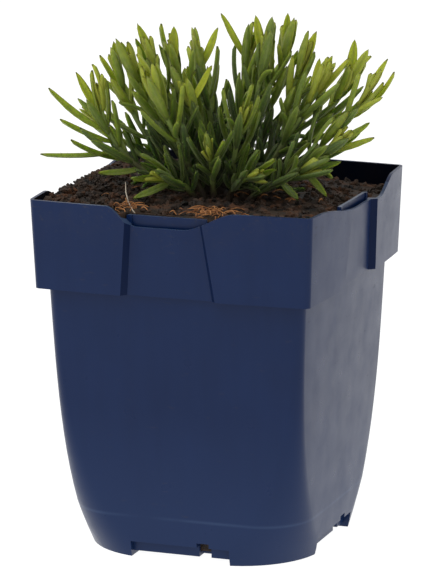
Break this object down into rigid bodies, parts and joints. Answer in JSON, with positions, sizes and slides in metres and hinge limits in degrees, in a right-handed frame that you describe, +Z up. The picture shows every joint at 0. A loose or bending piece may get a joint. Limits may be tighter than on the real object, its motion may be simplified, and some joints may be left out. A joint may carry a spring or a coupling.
{
  "type": "potted lithodora",
  "caption": "Small evergreen lithodora with narrow leaves, rooted in peat in a square navy nursery pot with a deep stepped collar and scooped rim.",
  "frame": {"origin": "centre of the pot's flat base, where the pot rests", "axes": "+Z up out of the pot, -Y the pot's front side, +X its right side"},
  "size_m": [0.1011, 0.094, 0.1635],
  "materials": {
    "navy_plastic": "satin moulded plastic",
    "peat": "moist crumbly peat",
    "leaf_green": "soft living leaf, slightly hairy"
  },
  "bodies": {
    "root": {"pot": "navy_plastic", "soil": "peat", "leafy_stem_01": "leaf_green", "leafy_stem_02": "leaf_green", "leafy_stem_03": "leaf_green", "leafy_stem_04": "leaf_green", "leafy_stem_05": "leaf_green", "leafy_stem_06": "leaf_green", "leafy_stem_07": "leaf_green", "leafy_stem_08": "leaf_green", "leafy_stem_09": "leaf_green", "leafy_stem_10": "leaf_green", "leafy_stem_11": "leaf_green", "leafy_stem_12": "leaf_green", "leafy_stem_13": "leaf_green", "leafy_stem_14": "leaf_green", "leafy_stem_15": "leaf_green", "leafy_stem_16": "leaf_green", "leafy_stem_17": "leaf_green", "leafy_stem_18": "leaf_green", "leafy_stem_19": "leaf_green", "leafy_stem_20": "leaf_green", "leafy_stem_21": "leaf_green", "leafy_stem_22": "leaf_green", "leafy_stem_23": "leaf_green", "leafy_stem_24": "leaf_green", "leafy_stem_25": "leaf_green", "leafy_stem_26": "leaf_green", "leafy_stem_27": "leaf_green", "leafy_stem_28": "leaf_green"}
  },
  "joints": []
}
